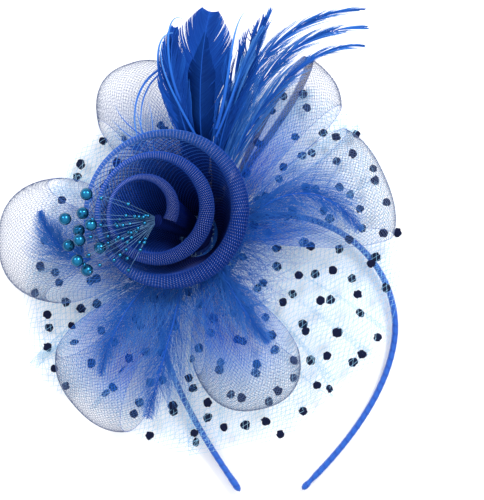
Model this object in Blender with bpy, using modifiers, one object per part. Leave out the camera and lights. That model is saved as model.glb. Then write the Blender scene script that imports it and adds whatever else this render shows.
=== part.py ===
"""A fascinator: crinoline rosette, loop petals, veil and feathers on a wrapped headband, lying face up."""
import math

import bpy
import bmesh
import numpy as np
from mathutils import Matrix, Vector

for old in list(bpy.data.objects):
    bpy.data.objects.remove(old, do_unlink=True)

MM = 0.001

# Driving dimensions in millimetres. The arch lies in the plane z = 0 with its front towards +Z.
BAND_HALF_WIDTH = 63.5
BAND_RISE = 61.0
BAND_ARM = 81.0
BAND_TIP_GAP = 45.2
BAND_LEAN = 3.0
BAND_DEPTH = 5.0
BAND_THICKNESS = 3.2
END_LENGTH = 9.0
END_SWELL = 1.2
GAP = 0.3

# The flower sits on the arch at this turn from its crown.
FLOWER_TURN = math.radians(-41.0)
PAD_RADIUS = 22.0
PAD_THICKNESS = 2.4
BACKING_RADIUS = 14.0
BACKING_THICKNESS = 2.0

# Cloth walls and the stack of layers in front of the band.
NET_WALL = 1.0
CRIN_WALL = 1.0
VEIL_RADIUS = 110.0
VEIL_EYE = 5.0
VEIL_DROP = 17.0
VEIL_RUFFLE = 3.4
VEIL_RUFFLES = 11
PETAL_REACH = 105.0
PETAL_ROOT = 8.0
PETAL_RISE = 6.0
PETAL_LOFT = 8.0
PETAL_WAVE = 0.8
ROSETTE_RADIUS = 45.0
ROSETTE_EYE = 14.5
ROSETTE_RISE = 20.0
ROSETTE_LIFT = 17.0
ROSETTE_TURNS = 2.6
ROSETTE_LIP = 5.2
FEATHER_WALL = 1.0
PEARL_DIAMETER = 6.4
WIRE_DIAMETER = 0.7
WIRE_BOW = 4.0
WIRE_SPREAD = 1.2
WIRE_LIFT = 2.3
BIND_RADIUS = 3.4

parts = bpy.data.collections.new("fascinator")
bpy.context.scene.collection.children.link(parts)
rest = bpy.data.objects.new("rest_frame", None)
parts.objects.link(rest)
flower = bpy.data.objects.new("flower_frame", None)
parts.objects.link(flower)
flower.parent = rest


def material(name, colour, roughness, metallic=0.0):
    """A Principled material; colour is linear."""
    made = bpy.data.materials.new(name)
    made.use_nodes = True
    shader = made.node_tree.nodes["Principled BSDF"]
    shader.inputs["Base Color"].default_value = (*colour, 1.0)
    shader.inputs["Roughness"].default_value = roughness
    shader.inputs["Metallic"].default_value = metallic
    return made


def place(name, mesh_builder, colour, roughness, parent, metallic=0.0, smooth=True):
    """One named object from a bmesh, with its own material, under its frame."""
    mesh = bpy.data.meshes.new(name)
    mesh_builder.to_mesh(mesh)
    mesh_builder.free()
    made = bpy.data.objects.new(name, mesh)
    made.data.materials.append(material(name, colour, roughness, metallic))
    parts.objects.link(made)
    made.parent = parent
    if smooth:
        for face in mesh.polygons:
            face.use_smooth = True
    return made


def shaped_grid(columns, rows, shape, weld=1e-6):
    """A flat grid whose points u, v in 0..1 are moved to shape(u, v), given in millimetres."""
    grid = bmesh.new()
    bmesh.ops.create_grid(grid, x_segments=columns, y_segments=rows, size=0.5)
    for vert in grid.verts:
        vert.co = Vector(shape(vert.co.x + 0.5, vert.co.y + 0.5)) * MM
    bmesh.ops.remove_doubles(grid, verts=grid.verts, dist=weld)
    return grid


def wall(made, thickness):
    """Gives an open surface a wall, half of it on each side."""
    solid = made.modifiers.new("wall", "SOLIDIFY")
    solid.thickness = thickness * MM
    solid.offset = 0.0
    return made


def ease(x):
    """0 to 1 with flat ends."""
    x = min(max(x, 0.0), 1.0)
    return x * x * (3.0 - 2.0 * x)


# Headband: half an ellipse over the head, then two arms that close towards the tips.
# The right arm closes later than the left, as the sprung hoop has been worn.
ARM_EASE = 1.65
ARM_BIAS = 0.15


def arch(t):
    """The band's centreline, t from -1 at the left tip through 0 at the crown to 1 at the right tip."""
    side, along = math.copysign(1.0, t), abs(t)
    if along <= 0.5:
        turn = math.pi * along
        return side * BAND_HALF_WIDTH * math.sin(turn), BAND_RISE * math.cos(turn)
    q = (along - 0.5) * 2.0
    closing = q ** (ARM_EASE + side * ARM_BIAS)
    x = side * (BAND_HALF_WIDTH - (BAND_HALF_WIDTH - BAND_TIP_GAP / 2.0) * closing)
    return x - BAND_LEAN * q * q, -BAND_ARM * q


FLOWER_X, FLOWER_Y = arch(FLOWER_TURN / math.pi)
flower.location = (FLOWER_X * MM, FLOWER_Y * MM, 0.0)

BAND_SEGMENTS = 60
band = place(
    "headband",
    shaped_grid(BAND_SEGMENTS, 1, lambda u, v: (*arch(2.0 * u - 1.0), (v - 0.5) * BAND_DEPTH)),
    (0.010, 0.055, 0.42), 0.38, rest,
)
wall(band, BAND_THICKNESS)
soften = band.modifiers.new("edges", "BEVEL")
soften.width = 0.8 * MM
soften.segments = 1
soften.limit_method = "ANGLE"
soften.angle_limit = math.radians(50)

for end_name, side in (("end_wrap_left", -1.0), ("end_wrap_right", 1.0)):
    knob = bmesh.new()
    bmesh.ops.create_uvsphere(knob, u_segments=12, v_segments=8, radius=0.5 * MM)
    knob_size = (BAND_THICKNESS + END_SWELL, BAND_DEPTH + END_SWELL, END_LENGTH)
    bmesh.ops.scale(knob, vec=knob_size, verts=knob.verts)
    made = place(end_name, knob, (0.010, 0.055, 0.42), 0.38, rest)
    tip_x, tip_y = arch(side)
    back_x, back_y = arch(side * 0.97)
    outward = Vector((tip_x - back_x, tip_y - back_y, 0.0)).normalized()
    centre = Vector((tip_x, tip_y, 0.0)) + outward * (END_LENGTH / 2.0 + GAP)
    across = Vector((0.0, 0.0, 1.0)).cross(outward)
    turn = Matrix((across, Vector((0.0, 0.0, 1.0)), outward)).transposed().to_4x4()
    made.matrix_local = Matrix.Translation(centre * MM) @ turn

# Felt pad and backing, one on each side of the band.
PAD_SEAT = BAND_DEPTH / 2.0 + GAP


def disc(name, radius, low, thickness, sides):
    """A felt disc on the flower's axis, from the height low upwards."""
    felt = bmesh.new()
    bmesh.ops.create_cone(felt, cap_ends=True, segments=sides, radius1=radius * MM,
                          radius2=radius * MM, depth=thickness * MM)
    made = place(name, felt, (0.012, 0.030, 0.16), 0.95, flower, smooth=False)
    made.location = (0.0, 0.0, (low + thickness / 2.0) * MM)
    return made


disc("felt_pad", PAD_RADIUS, PAD_SEAT, PAD_THICKNESS, 32)
disc("felt_backing", BACKING_RADIUS, -PAD_SEAT - BACKING_THICKNESS, BACKING_THICKNESS, 28)

# Veil: two gathered rounds of net. They hang free of the band beyond it and lie over it inside the arch.
VEIL_SEAT = PAD_SEAT + PAD_THICKNESS + GAP + NET_WALL / 2.0
VEIL_LIFT = 1.1
VEIL_STEP = NET_WALL + VEIL_LIFT
# Outline of the net: direction in degrees, reach as a share of VEIL_RADIUS.
VEIL_OUTLINE = (
    (0, 0.98), (20, 0.97), (38, 0.98), (60, 0.93), (80, 0.80), (105, 0.68), (135, 0.74), (157, 0.78),
    (180, 0.84), (200, 0.92), (220, 1.05), (236, 0.98), (253, 1.0), (267, 1.04), (280, 1.01),
    (292, 1.03), (310, 0.99), (328, 1.04), (345, 1.0),
)


def around(table, degrees):
    """A smooth value round the circle from rows of (degrees, value)."""
    degrees %= 360.0
    for (a, va), (b, vb) in zip(table, table[1:] + ((table[0][0] + 360, table[0][1]),)):
        if a <= degrees <= b:
            return va + (vb - va) * ease((degrees - a) / (b - a))
    return table[0][1]


NEAR_TURN = 14.0
NET_MARGIN = 6.0
EYE_MARGIN = 3.0


def band_crossing(degrees):
    """How far from the flower's axis the net last lies over the band in one direction, in millimetres."""
    near = [0.0]
    for step in range(BAND_SEGMENTS * 2 + 1):
        x, y = arch(step / BAND_SEGMENTS - 1.0)
        x, y = x - FLOWER_X, y - FLOWER_Y
        turn = (math.degrees(math.atan2(y, x)) - degrees + 180.0) % 360.0 - 180.0
        if abs(turn) < NEAR_TURN and math.hypot(x, y) > BAND_DEPTH * 2.0:
            near.append(math.hypot(x, y))
    return max(near)


def net_height(r, turn, crossing, edge):
    """Height of the lower net: level over the band, ruffled towards the rim, fallen where it hangs free."""
    fall = max(0.0, (r - crossing) / (edge - PAD_RADIUS))
    wave = VEIL_RUFFLE * ease((r - PAD_RADIUS) / VEIL_RADIUS * 1.3)
    ruffle = (1.0 + math.sin(VEIL_RUFFLES * turn)) / 2.0
    return VEIL_SEAT + wave * ruffle - VEIL_DROP * fall**1.3


def veil_sheet(name, lift, reach, shift, columns, rows):
    """A gathered round of net with a scalloped rim."""
    rough = [max(band_crossing(360.0 * k / columns) + NET_MARGIN, PAD_RADIUS + EYE_MARGIN) for k in range(columns)]
    crossing = [(rough[k - 1] + rough[k] + rough[(k + 1) % columns]) / 3.0 for k in range(columns)]

    def shape(u, v):
        k = round(u * columns) % columns
        turn = 2.0 * math.pi * k / columns
        full = VEIL_RADIUS * around(VEIL_OUTLINE, math.degrees(turn))
        edge = VEIL_RADIUS * reach * around(VEIL_OUTLINE, math.degrees(turn) + shift)
        edge *= 1.0 + 0.02 * math.sin(VEIL_RUFFLES * turn + shift)
        r = VEIL_EYE + (min(edge, full) - VEIL_EYE) * v
        return r * math.cos(turn), r * math.sin(turn), lift + net_height(r, turn, crossing[k], full)

    made = place(name, shaped_grid(columns, rows, shape), (0.30, 0.62, 0.92), 0.7, flower)
    return wall(made, NET_WALL)


veil_sheet("veil_under", 0.0, 1.0, 0.0, 55, 4)
veil_sheet("veil_upper", VEIL_STEP, 0.95, 9.0, 55, 4)

# Petals: loops of crinoline ribbon, gathered at the root.
PETAL_SEAT = VEIL_SEAT + VEIL_STEP + NET_WALL / 2.0 + GAP + CRIN_WALL / 2.0
# name, direction in degrees, reach, half width and height as shares of the named sizes,
# how round the outer fold is, and how far the fold leans to one side.
PETALS = (
    ("petal_1", 111.5, 0.97, 0.31, 0.68, 0.24, 0.02),
    ("petal_2", 178.5, 1.01, 0.37, 0.8, 0.24, 0.0),
    ("petal_3", 233.0, 1.03, 0.275, 0.9, 0.10, 0.05),
    ("petal_4", 290.0, 0.88, 0.33, 1.0, 0.26, 0.05),
    ("petal_5", 20.5, 0.98, 0.31, 1.0, 0.08, -0.02),
    ("petal_6", 54.2, 1.07, 0.18, 0.8, 0.06, 0.03),
)


def petal(name, direction, reach, width, height, rounding, lean):
    """A ribbon loop: out along its lower layer, round the outer fold, and back along the upper one."""
    long = PETAL_REACH * reach
    half = PETAL_REACH * width
    turn = math.radians(direction)
    loft = PETAL_LOFT * height

    def shape(u, v):
        side = 2.0 * v - 1.0
        out = math.sin(math.pi * (0.02 + 0.96 * u)) ** 0.9
        tip = long * (1.0 - rounding * abs(side) ** 2.5 + lean * side)
        r = PETAL_ROOT + (tip - PETAL_ROOT) * out
        spread = half * (r / long) ** 0.92
        swell = 0.2 + 0.8 * out**1.3
        z = PETAL_SEAT + GAP + PETAL_RISE * out**1.2 * height
        z += loft * swell * (1.0 - math.cos(math.pi * u))
        z += PETAL_WAVE * (1.0 + math.sin(side * 7.0 + direction)) * out * (1.0 - 0.6 * out)
        across = spread * side
        return (r * math.cos(turn) - across * math.sin(turn),
                r * math.sin(turn) + across * math.cos(turn), z)

    made = place(name, shaped_grid(18, 7, shape), (0.075, 0.17, 0.62), 0.45, flower)
    return wall(made, CRIN_WALL)


for row in PETALS:
    petal(*row)

# Rosette: ribbon folded lengthwise, wound from the outer turn in to the heart.
ROSETTE_STANDOFF = 6.0
ROSETTE_SEAT = PETAL_SEAT + ROSETTE_STANDOFF
ROSETTE_START = math.radians(200.0)
# Middles of the outer turn, the heart and the foot, and the foot's radii, as shares of ROSETTE_RADIUS.
OUTER_CENTRE = (-0.33, 0.36)
HEART_CENTRE = (-0.66, 0.38)
BASE_CENTRE = (-0.089, 0.111)
BASE_RADIUS = 0.333
BASE_EYE = 0.122
OPEN_SIDE = math.radians(-25.0)
ROLL = math.radians(205.0)
LIP_STARTS = 0.55


def rosette_point(u, v):
    """u runs along the spiral from its outer end; v climbs from the foot over the rolled rim."""
    turn = ROSETTE_START - 2.0 * math.pi * ROSETTE_TURNS * u
    radius = ROSETTE_RADIUS + (ROSETTE_EYE - ROSETTE_RADIUS) * u
    opening = 0.5 + 0.5 * math.cos(turn - OPEN_SIDE)
    top = ROSETTE_SEAT + ROSETTE_LIFT + ROSETTE_RISE * u * (0.45 + 0.55 * opening)
    lip = ROSETTE_LIP * (0.3 + 0.7 * opening) * (1.0 - 0.35 * u)
    cx = ROSETTE_RADIUS * (OUTER_CENTRE[0] + (HEART_CENTRE[0] - OUTER_CENTRE[0]) * u)
    cy = ROSETTE_RADIUS * (OUTER_CENTRE[1] + (HEART_CENTRE[1] - OUTER_CENTRE[1]) * u)
    foot = ROSETTE_RADIUS * (BASE_RADIUS + (BASE_EYE - BASE_RADIUS) * u)
    climb = min(v / LIP_STARTS, 1.0)
    roll = ROLL * max(v - LIP_STARTS, 0.0) / (1.0 - LIP_STARTS)
    r = foot + (radius - lip - foot) * climb**0.75 + lip * (1.0 - math.cos(roll))
    x0 = ROSETTE_RADIUS * BASE_CENTRE[0] * (1.0 - climb) + cx * climb
    y0 = ROSETTE_RADIUS * BASE_CENTRE[1] * (1.0 - climb) + cy * climb
    z = ROSETTE_SEAT + (top - lip - ROSETTE_SEAT) * climb**1.15 + lip * math.sin(roll)
    return x0 + r * math.cos(turn), y0 + r * math.sin(turn), z


rosette = place("rosette", shaped_grid(50, 8, rosette_point), (0.020, 0.070, 0.44), 0.42, flower)
wall(rosette, CRIN_WALL)


def along(points, t):
    """A cubic curve through its four control points."""
    a, b, c, d = (np.array(p) for p in points)
    s = 1.0 - t
    return s**3 * a + 3 * s * s * t * b + 3 * s * t * t * c + t**3 * d


FEATHER_SEAT = PETAL_SEAT + GAP


def feather(name, quill, half_width, cup, belly, columns, rows, colour, tip=0.12):
    """A blade on a curved quill: widest at the share belly of its length, cupped across."""
    spine = [(x * PETAL_REACH, y * PETAL_REACH, FEATHER_SEAT + z * PETAL_REACH) for x, y, z in quill]
    half = half_width * PETAL_REACH

    def shape(u, v):
        side = 2.0 * v - 1.0
        here = along(spine, u)
        ahead = along(spine, min(u + 0.02, 1.0)) - along(spine, max(u - 0.02, 0.0))
        ahead /= np.linalg.norm(ahead)
        across = np.cross((0.0, 0.0, 1.0), ahead)
        across /= np.linalg.norm(across)
        up = np.cross(ahead, across)
        grow = ease(u / belly) if u < belly else 1.0 - ease((u - belly) / (1.0 - belly)) * (1.0 - tip)
        width = max(grow, 0.16 if u < belly else tip)
        return here + across * half * width * side + up * cup * half * width * side * side

    made = place(name, shaped_grid(columns, rows, shape), colour, 0.6, flower)
    return wall(made, FEATHER_WALL)


ROYAL = (0.012, 0.075, 0.52)
AZURE = (0.030, 0.16, 0.66)
# name, four points of the quill and half width as shares of PETAL_REACH, heights above FEATHER_SEAT,
# cup as a share of the half width, belly, tip.
FEATHERS = (
    ("crest_feather", ((0.030, 0.238, 0.0), (-0.005, 0.514, 0.095), (-0.029, 0.838, 0.362), (0.048, 1.150, 0.300)),
     0.138, 0.26, 0.72, 0.40),
    ("biot_1", ((0.064, 0.238, 0.0), (0.086, 0.590, 0.063), (0.267, 1.143, 0.349), (0.810, 1.152, 0.310)),
     0.025, 0.2, 0.45, 0.2),
    ("biot_2", ((0.077, 0.238, 0.0), (0.143, 0.571, 0.063), (0.324, 1.086, 0.310), (0.829, 1.067, 0.253)),
     0.025, 0.2, 0.45, 0.2),
    ("biot_3", ((0.090, 0.238, 0.0), (0.200, 0.552, 0.063), (0.438, 1.010, 0.272), (0.819, 0.981, 0.206)),
     0.023, 0.2, 0.45, 0.2),
    ("biot_4", ((0.084, 0.238, 0.016), (0.152, 0.571, 0.139), (0.267, 0.952, 0.368), (0.343, 1.152, 0.358)),
     0.021, 0.2, 0.45, 0.2),
    ("biot_5", ((0.070, 0.238, 0.016), (0.095, 0.571, 0.149), (0.200, 0.876, 0.406), (0.305, 1.057, 0.444)),
     0.017, 0.2, 0.45, 0.2),
)
HACKLES = (
    ("hackle_1", ((-0.552, -0.076, 0.103), (-0.629, -0.076, 0.141), (-0.743, -0.019, 0.170), (-0.800, 0.171, 0.160)),
     0.086, 0.22, 0.5, 0.12),
    ("hackle_2", ((-0.095, -0.190, 0.057), (-0.133, -0.419, 0.143), (-0.210, -0.629, 0.190), (-0.267, -0.876, 0.162)),
     0.120, 0.15, 0.5, 0.12),
    ("hackle_3", ((0.229, 0.120, 0.072), (0.419, 0.300, 0.158), (0.629, 0.320, 0.206), (0.800, 0.060, 0.196)),
     0.105, 0.17, 0.5, 0.12),
    ("hackle_4", ((0.095, -0.114, 0.056), (0.152, -0.229, 0.123), (0.229, -0.362, 0.190), (0.343, -0.495, 0.199)),
     0.095, 0.2, 0.5, 0.12),
    ("hackle_5", ((-0.190, -0.110, 0.053), (-0.330, -0.250, 0.138), (-0.450, -0.410, 0.203), (-0.500, -0.660, 0.178)),
     0.080, 0.2, 0.5, 0.12),
)
for feather_name, quill, half, cup, belly, tip in FEATHERS:
    broad = half > 0.1
    feather(feather_name, quill, half, cup, belly, 14 if broad else 12, 4 if broad else 1, ROYAL, tip)
for feather_name, quill, half, cup, belly, tip in HACKLES:
    feather(feather_name, quill, half, cup, belly, 10, 3, AZURE, tip)

# Stamens: wires from a bound stem in the heart to a pearl each.
# Foot and top of the stem as shares of ROSETTE_RADIUS, its top's height as a share of ROSETTE_LIFT.
STEM_FOOT_AT = (-0.111, 0.122)
STEM_TOP_AT = (-0.500, 0.278)
STEM_RISE = 1.235
STEM_FOOT = np.array([STEM_FOOT_AT[0] * ROSETTE_RADIUS, STEM_FOOT_AT[1] * ROSETTE_RADIUS, ROSETTE_SEAT])
STEM_TOP = np.array([STEM_TOP_AT[0] * ROSETTE_RADIUS, STEM_TOP_AT[1] * ROSETTE_RADIUS,
                     ROSETTE_SEAT + STEM_RISE * ROSETTE_LIFT])
stem_line = Vector(STEM_TOP - STEM_FOOT)
stem = bmesh.new()
bmesh.ops.create_cone(stem, cap_ends=True, segments=10, radius1=BIND_RADIUS * MM,
                      radius2=BIND_RADIUS * MM, depth=stem_line.length * MM)
bound = place("stamen_bind", stem, (0.012, 0.05, 0.30), 0.6, flower)
bound.location = tuple((STEM_FOOT + STEM_TOP) / 2.0 * MM)
bound.rotation_euler = stem_line.to_track_quat("Z", "Y").to_euler()

# Each pearl in order round the spray: direction in degrees, distance as a share of ROSETTE_RADIUS,
# height above ROSETTE_SEAT as a share of ROSETTE_LIFT.
PEARLS = (
    (155.7, 1.409, 2.18), (164.8, 1.388, 1.69), (168.8, 1.552, 2.24), (169.3, 1.260, 2.00),
    (173.2, 1.400, 1.47), (177.5, 1.372, 2.00), (180.2, 1.505, 1.56), (181.6, 1.150, 1.47),
    (187.0, 1.405, 2.00), (192.5, 1.325, 1.63),
)


def wire(name, start, end, bow):
    """A thin round wire in a shallow arc."""
    curve = bpy.data.curves.new(name, "CURVE")
    curve.dimensions = "3D"
    curve.bevel_depth = WIRE_DIAMETER / 2.0 * MM
    curve.bevel_resolution = 0
    curve.use_fill_caps = True
    line = curve.splines.new("POLY")
    count = 7
    line.points.add(count - 1)
    for k in range(count):
        t = k / (count - 1)
        here = start + (end - start) * t
        here[2] += bow * 4.0 * t * (1.0 - t)
        line.points[k].co = (*(here * MM), 1.0)
    made = bpy.data.objects.new(name, curve)
    made.data.materials.append(material(name, (0.05, 0.22, 0.36), 0.3, 0.7))
    parts.objects.link(made)
    made.parent = flower
    return made


for number, (direction, distance, height) in enumerate(PEARLS, 1):
    turn = math.radians(direction)
    spot = np.array([math.cos(turn) * distance * ROSETTE_RADIUS, math.sin(turn) * distance * ROSETTE_RADIUS,
                     ROSETTE_SEAT + height * ROSETTE_LIFT])
    ball = bmesh.new()
    bmesh.ops.create_uvsphere(ball, u_segments=9, v_segments=6, radius=PEARL_DIAMETER / 2.0 * MM)
    pearl = place(f"pearl_{number:02d}", ball, (0.020, 0.16, 0.32), 0.18, flower, metallic=0.5)
    pearl.location = tuple(spot * MM)
    side = (number - 1) / (len(PEARLS) - 1) - 0.5
    spread = np.array([0.0, -2.0 * side * (BIND_RADIUS + WIRE_SPREAD), 0.0])
    root = STEM_TOP + spread + np.array([-WIRE_SPREAD, 0.0, WIRE_LIFT])
    reach_out = spot - root
    end = spot - reach_out / np.linalg.norm(reach_out) * (PEARL_DIAMETER / 2.0 + GAP)
    wire(f"stamen_wire_{number:02d}", root, end, WIRE_BOW)


def settle():
    """Turns the whole piece as it lies by itself: on the face of its hull that its weight falls through."""
    bpy.context.view_layer.update()
    graph = bpy.context.evaluated_depsgraph_get()
    hull, weight, balance = bmesh.new(), 0.0, Vector()
    for made in parts.objects:
        if made.type == "EMPTY":
            continue
        shell = bpy.data.meshes.new_from_object(made.evaluated_get(graph))
        shell.transform(made.matrix_world)
        shell.calc_loop_triangles()
        for face in shell.loop_triangles:
            a, b, c = (shell.vertices[k].co for k in face.vertices)
            share = a.dot(b.cross(c)) / 6.0
            weight += share
            balance += share * (a + b + c) / 4.0
        hull.from_mesh(shell)
        bpy.data.meshes.remove(shell)
    balance /= weight
    bmesh.ops.remove_doubles(hull, verts=hull.verts, dist=0.01 * MM)
    made = bmesh.ops.convex_hull(hull, input=hull.verts)
    loose = [item for item in made["geom_interior"] + made["geom_unused"]
             if isinstance(item, bmesh.types.BMVert) and item.is_valid]
    bmesh.ops.delete(hull, geom=loose, context="VERTS")
    bmesh.ops.recalc_face_normals(hull, faces=hull.faces)
    down = Vector((0.0, 0.0, -1.0))
    best = None
    for face in hull.faces:
        out = face.normal
        foot = balance + out * (face.verts[0].co - balance).dot(out)
        corners = [vert.co for vert in face.verts]
        inside = all((b - a).cross(foot - a).dot(out) >= 0.0
                     for a, b in zip(corners, corners[1:] + corners[:1]))
        if inside and (best is None or out.dot(down) > best.dot(down)):
            best = out.copy()
    turn = best.rotation_difference(down).to_matrix().to_4x4()
    spots = [turn @ vert.co for vert in hull.verts]
    low = Vector([min(spot[k] for spot in spots) for k in range(3)])
    high = Vector([max(spot[k] for spot in spots) for k in range(3)])
    hull.free()
    rest.matrix_world = Matrix.Translation((-(low.x + high.x) / 2, -(low.y + high.y) / 2, -low.z)) @ turn


settle()
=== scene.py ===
"""A royal blue fascinator on a wrapped headband, lying on a pale table and seen from above."""
import math

import bpy
import numpy as np
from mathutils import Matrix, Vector


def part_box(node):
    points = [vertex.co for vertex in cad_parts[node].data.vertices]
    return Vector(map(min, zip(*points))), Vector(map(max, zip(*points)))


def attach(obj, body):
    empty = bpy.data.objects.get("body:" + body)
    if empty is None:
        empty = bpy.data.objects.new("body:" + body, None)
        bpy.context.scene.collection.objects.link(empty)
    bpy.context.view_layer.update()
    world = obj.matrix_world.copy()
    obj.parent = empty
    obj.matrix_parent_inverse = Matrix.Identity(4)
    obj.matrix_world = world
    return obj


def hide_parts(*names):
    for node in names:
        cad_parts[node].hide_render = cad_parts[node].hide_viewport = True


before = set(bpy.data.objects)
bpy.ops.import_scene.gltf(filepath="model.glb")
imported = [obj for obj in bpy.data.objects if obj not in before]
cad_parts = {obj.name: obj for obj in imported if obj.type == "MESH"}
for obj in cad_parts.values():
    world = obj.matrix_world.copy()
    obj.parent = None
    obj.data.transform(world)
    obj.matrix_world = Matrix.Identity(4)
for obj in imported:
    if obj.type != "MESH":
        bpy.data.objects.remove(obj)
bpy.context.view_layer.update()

# The view: a camera straight above the table, as the photograph was taken, over the middle of the piece.
# A plain pale table carries the fascinator, under an even white tent with one soft box at the upper right.
CAMERA_OFF_FLOWER, CAMERA_HEIGHT = (0.0222, -0.0038), 0.900
CAMERA_FOCUS = 1654.0
FRAME_WIDTH = 484.0
SENSOR = 36.0
TABLE_SIZE, TABLE_DROP = 3.0, 0.0004
TENT_SIDES, TENT_TOP = 0.50, 1.25
# Lamp, place, width in metres, watts.
LAMPS = (("soft_box", (0.50, 0.55, 0.85), 0.28, 8.0), ("fill_box", (-0.55, 0.45, 0.75), 0.20, 2.6))
LAMP_AIM = (0.0, 0.0, 0.02)
LAYERS_SEEN_THROUGH = 48

scene = bpy.context.scene
lens = bpy.data.cameras.new("view")
lens.sensor_fit = "HORIZONTAL"
lens.sensor_width = SENSOR
lens.lens = SENSOR * CAMERA_FOCUS / FRAME_WIDTH
camera = bpy.data.objects.new("view", lens)
scene.collection.objects.link(camera)
scene.camera = camera
scene.view_settings.view_transform = "Standard"
scene.cycles.transparent_max_bounces = LAYERS_SEEN_THROUGH


def linear(code):
    """A colour written as sRGB hex, turned to linear values with alpha one."""
    share = np.array([int(code[k:k + 2], 16) for k in (1, 3, 5)]) / 255.0
    bent = np.where(share <= 0.04045, share / 12.92, ((share + 0.055) / 1.055) ** 2.4)
    return (*bent.tolist(), 1.0)


def node(tree, kind, settings=(), inputs=()):
    """Adds a node with its settings, and its inputs as values or as links from other sockets."""
    made = tree.nodes.new("ShaderNode" + kind)
    for key, value in dict(settings).items():
        setattr(made, key, value)
    for key, value in dict(inputs).items():
        if isinstance(value, bpy.types.NodeSocket):
            tree.links.new(value, made.inputs[key])
        else:
            made.inputs[key].default_value = value
    return made


def finish_of(name, rough=0.5, gloss=0.5):
    """A new material with its node tree and its Principled shader, given its roughness and its gloss."""
    made = bpy.data.materials.new(name)
    made.use_nodes = True
    shader = made.node_tree.nodes["Principled BSDF"]
    shader.inputs["Roughness"].default_value = rough
    shader.inputs["Specular IOR Level"].default_value = gloss
    return made, made.node_tree, shader


def ramp(tree, value, stops):
    """Colours along a value, given as rows of (position, sRGB hex)."""
    made = node(tree, "ValToRGB", (), {"Fac": value})
    while len(made.color_ramp.elements) < len(stops):
        made.color_ramp.elements.new(0.5)
    for element, (position, code) in zip(made.color_ramp.elements, stops):
        element.position = position
        element.color = linear(code)
    return made.outputs["Color"]


def coloured(tree, shader, value, *stops):
    """The colours along a value as a shader's base colour."""
    tree.links.new(ramp(tree, value, stops), shader.inputs["Base Color"])


def shaped(name, points, faces, finish, uv=None, tone=None):
    """A mesh object from arrays: points in metres, rows of corners, a UV and a tone for each point."""
    mesh = bpy.data.meshes.new(name)
    faces = np.asarray(faces, dtype=np.int32)
    mesh.vertices.add(len(points))
    mesh.vertices.foreach_set("co", np.asarray(points, dtype=np.float32).ravel())
    mesh.loops.add(faces.size)
    mesh.loops.foreach_set("vertex_index", faces.ravel())
    mesh.polygons.add(len(faces))
    starts = np.arange(0, faces.size, faces.shape[1], dtype=np.int32)
    mesh.polygons.foreach_set("loop_start", starts)
    mesh.polygons.foreach_set("use_smooth", np.ones(len(faces), dtype=bool))
    mesh.update(calc_edges=True)
    if uv is not None:
        layer = mesh.uv_layers.new(name="weave")
        layer.data.foreach_set("uv", np.asarray(uv, dtype=np.float32)[faces.ravel()].ravel())
    if tone is not None:
        layer = mesh.attributes.new("tone", "FLOAT", "POINT")
        layer.data.foreach_set("value", np.asarray(tone, dtype=np.float32).ravel())
    mesh.validate()
    made = bpy.data.objects.new(name, mesh)
    mesh.materials.append(finish)
    scene.collection.objects.link(made)
    return made


def grid_faces(rows, columns, around=False):
    """Quads over a grid of points in row order; around joins the last column to the first."""
    index = np.arange(rows * columns).reshape(rows, columns)
    right = np.roll(index, -1, axis=1)
    last = columns if around else columns - 1
    low, high = index[:-1, :last], index[1:, :last]
    return np.stack([low, right[:-1, :last], right[1:, :last], high], axis=-1).reshape(-1, 4)


table_finish, tree, shader = finish_of("white_laminate_table", 0.6)
# White laminate: matt, with hardly any grain.
grain = node(tree, "TexNoise", (), {"Scale": 14.0, "Detail": 3.0})
coloured(tree, shader, grain.outputs["Fac"], (0.3, "#f7f9fd"), (0.7, "#fdfdff"))
corners = np.array([(-1, -1), (1, -1), (1, 1), (-1, 1)]) * TABLE_SIZE / 2.0
table = shaped("table", np.insert(corners, 2, -TABLE_DROP, axis=1), [(0, 1, 2, 3)], table_finish)

tent = bpy.data.worlds.new("tent")
tent.use_nodes = True
sky = node(tent.node_tree, "TexCoord")
height = node(tent.node_tree, "SeparateXYZ", (), {0: sky.outputs["Generated"]})
glow = node(tent.node_tree, "MapRange", (),
            {0: height.outputs["Z"], 1: 0.0, 2: 1.0, 3: TENT_SIDES, 4: TENT_TOP})
cloth = tent.node_tree.nodes["Background"]
cloth.inputs["Color"].default_value = linear("#ffffff")
tent.node_tree.links.new(glow.outputs[0], cloth.inputs["Strength"])
scene.world = tent
for lamp_name, spot, size, power in LAMPS:
    lamp = bpy.data.lights.new(lamp_name, "AREA")
    lamp.size = size
    lamp.energy = power
    stand = bpy.data.objects.new(lamp_name, lamp)
    stand.location = spot
    stand.rotation_euler = (Vector(LAMP_AIM) - Vector(spot)).to_track_quat("-Z", "Y").to_euler()
    scene.collection.objects.link(stand)

# Headband: a sprung metal hoop wound with narrow satin ribbon, its ends turned in and stitched over.
# The ribbon's turns lie half over each other, so that a low step runs round the hoop at each turn.
MM = 0.001
BAND_HALF_WIDTH, BAND_RISE, BAND_ARM, BAND_TIP_GAP = 63.5, 61.0, 81.0, 45.2
BAND_LEAN, BAND_DEPTH, BAND_THICKNESS, END_LENGTH, GAP = 3.0, 5.0, 3.2, 9.0, 0.3
ARM_EASE, ARM_BIAS = 1.65, 0.15
FLOWER_TURN = math.radians(-41.0)
WRAP_PITCH, WRAP_STEP, WRAP_CLIMB, WRAP_FALL = 4.6, 0.11, 0.82, 0.18
BOXINESS, TIP_ROUNDING = 0.85, 0.3


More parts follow.
